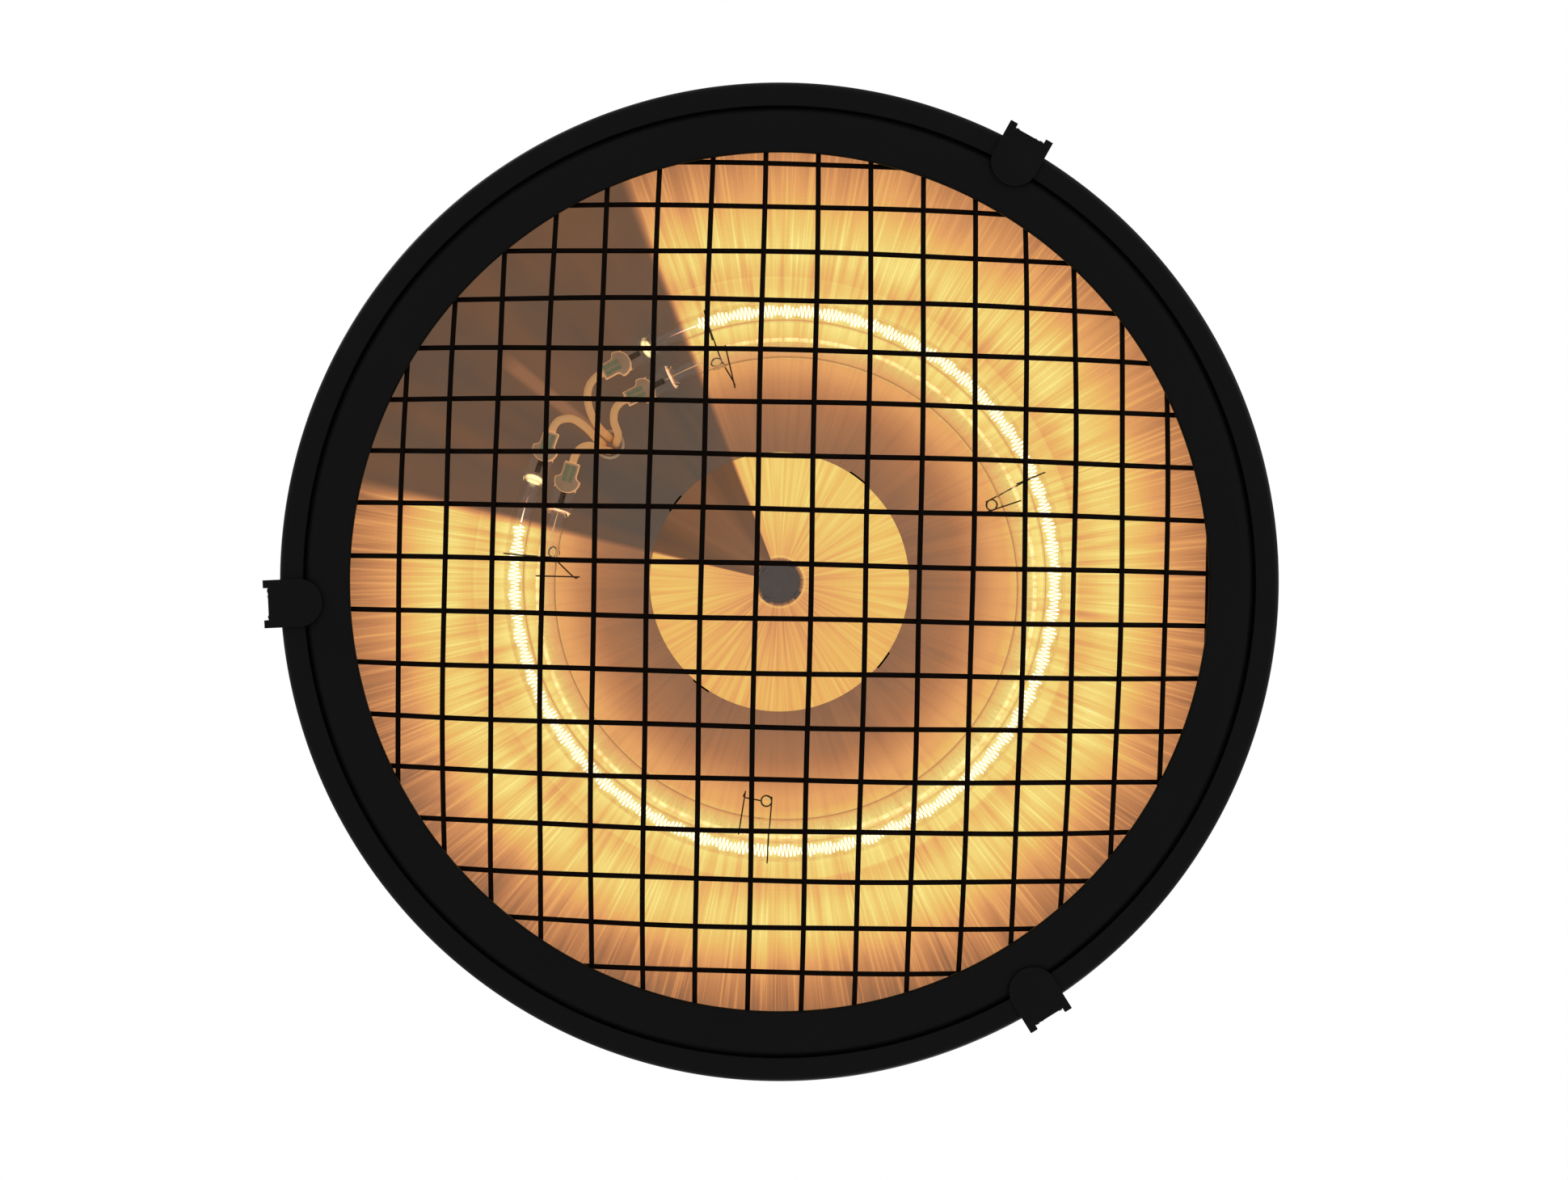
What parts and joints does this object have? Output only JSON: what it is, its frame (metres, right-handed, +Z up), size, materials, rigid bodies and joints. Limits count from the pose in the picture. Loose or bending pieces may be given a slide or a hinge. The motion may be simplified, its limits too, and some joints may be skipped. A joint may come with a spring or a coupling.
{
  "type": "pendant infrared heater",
  "caption": "Round pendant infrared heater: parabolic black shade, spun mirror with ring lamps, domed wire guard held by sprung clips, tilting strap hanger.",
  "frame": {"origin": "centre of the ceiling-bolt hole in the hanger strap", "axes": "+Z up along the ceiling bolt; the heater faces -Z; +X runs along the tilt axis, and the selector is on the -Y side"},
  "size_m": [0.459, 0.45, 0.3468],
  "materials": {
    "black_powder_coat": "matte black powder coat on steel sheet",
    "black_wire_coat": "black coat on steel wire",
    "black_moulded_plastic": "fine-grained black moulding",
    "zinc_plated_steel": "bright zinc plating",
    "spring_steel": "drawn wire",
    "spun_aluminium": "spun, finely brushed in circles",
    "dark_steel_cap": "blued steel, satin",
    "glazed_ceramic": "off-white steatite",
    "glass_fibre_sleeve": "varnished woven glass fibre",
    "quartz_glass": "clear fused quartz",
    "glowing_tungsten": "glowing coil",
    "tungsten": "cold coil",
    "ceramic_fibre_gasket": "pressed fibre sheet",
    "black_rubber": "soft matte",
    "silicone_rubber": "soft matte",
    "switch_plastic": "moulded",
    "brass": "satin"
  },
  "bodies": {
    "hanger": {"hanger": "black_powder_coat"},
    "housing": {"pivot_bolts": "zinc_plated_steel", "pivot_washers": "zinc_plated_steel", "can": "black_powder_coat", "can_lid": "black_powder_coat", "lid_screws": "zinc_plated_steel", "can_gasket": "ceramic_fibre_gasket", "can_rivets": "zinc_plated_steel", "gland_body": "black_moulded_plastic", "gland_nut": "black_moulded_plastic", "gland_seal": "black_rubber", "gland_locknut": "black_moulded_plastic", "selector_switch": "switch_plastic", "selector_nut": "zinc_plated_steel", "terminal_block": "glazed_ceramic", "terminal_screws": "brass", "thermal_cutout": "switch_plastic", "lead_grommet": "silicone_rubber", "shade": "black_powder_coat", "heat_shield": "spun_aluminium", "shield_spacers": "zinc_plated_steel", "reflector": "spun_aluminium", "reflector_brackets": "zinc_plated_steel", "reflector_rivets": "zinc_plated_steel", "centre_reflector": "spun_aluminium", "centre_cap": "dark_steel_cap", "centre_stud": "zinc_plated_steel", "centre_nut": "zinc_plated_steel", "lead_bushing": "glazed_ceramic", "outer_lamp_tube": "quartz_glass", "inner_lamp_tube": "quartz_glass", "outer_filament": "glowing_tungsten", "inner_filament": "tungsten", "lamp_cap_1": "glazed_ceramic", "lamp_cap_2": "glazed_ceramic", "lamp_cap_3": "glazed_ceramic", "lamp_cap_4": "glazed_ceramic", "lamp_lead_1": "glass_fibre_sleeve", "lamp_lead_2": "glass_fibre_sleeve", "lamp_lead_3": "glass_fibre_sleeve", "lamp_lead_4": "glass_fibre_sleeve", "lamp_springs": "spring_steel", "spring_posts": "zinc_plated_steel", "clip_lugs": "black_powder_coat", "clip_pins": "black_wire_coat", "clip_rivets": "black_wire_coat", "clip_spring_1": "spring_steel", "clip_spring_2": "spring_steel", "clip_spring_3": "spring_steel"},
    "clamp_knob_left": {"clamp_knob_left": "black_moulded_plastic"},
    "clamp_knob_right": {"clamp_knob_right": "black_moulded_plastic"},
    "selector": {"selector_knob": "black_moulded_plastic", "selector_shaft": "spring_steel"},
    "guard": {"guard_ring": "black_powder_coat", "guard_border": "black_wire_coat", "guard_mesh": "black_wire_coat"},
    "clip_claw_1": {"clip_claw_1": "black_powder_coat"},
    "clip_claw_2": {"clip_claw_2": "black_powder_coat"},
    "clip_claw_3": {"clip_claw_3": "black_powder_coat"}
  },
  "joints": [
    {"name": "tilt", "type": "hinge", "parent": "hanger", "child": "housing", "pos_m": [0, 0, -0.105], "axis": [1, 0, 0], "range_deg": [-60, 60]},
    {"name": "clamp_left_turn", "type": "hinge", "parent": "housing", "child": "clamp_knob_left", "pos_m": [-0.079, 0, -0.105], "axis": [-1, 0, 0], "range_deg": [0, 270]},
    {"name": "clamp_right_turn", "type": "hinge", "parent": "housing", "child": "clamp_knob_right", "pos_m": [0.079, 0, -0.105], "axis": [1, 0, 0], "range_deg": [0, 270]},
    {"name": "selector_turn", "type": "hinge", "parent": "housing", "child": "selector", "pos_m": [0, -0.07, -0.1], "axis": [0, 1, 0], "range_deg": [0, 270]},
    {"name": "clip_1_open", "type": "hinge", "parent": "housing", "child": "clip_claw_1", "pos_m": [0.12109, 0.19531, -0.276], "axis": [0.8499, -0.527, 0], "range_deg": [0, 95], "stiffness_Nm_per_rad": 0.12, "springref_deg": -68.75, "deforming": ["clip_spring_1"]},
    {"name": "clip_2_open", "type": "hinge", "parent": "housing", "child": "clip_claw_2", "pos_m": [-0.22958, 0.01002, -0.276], "axis": [0.0436, 0.999, 0], "range_deg": [0, 95], "stiffness_Nm_per_rad": 0.12, "springref_deg": -68.75, "deforming": ["clip_spring_2"]},
    {"name": "clip_3_open", "type": "hinge", "parent": "housing", "child": "clip_claw_3", "pos_m": [0.11246, -0.2004, -0.276], "axis": [-0.8721, -0.4894, 0], "range_deg": [0, 95], "stiffness_Nm_per_rad": 0.12, "springref_deg": -68.75, "deforming": ["clip_spring_3"]},
    {"name": "guard_slide", "type": "slide", "parent": "housing", "child": "guard", "axis": [0, 0, -1], "range_m": [0, 0.0257]}
  ],
  "couplings": [
    {"joint": "clip_1_open", "follows": "guard_slide", "rad_per_m": 64.5},
    {"joint": "clip_2_open", "follows": "guard_slide", "rad_per_m": 64.5},
    {"joint": "clip_3_open", "follows": "guard_slide", "rad_per_m": 64.5}
  ]
}
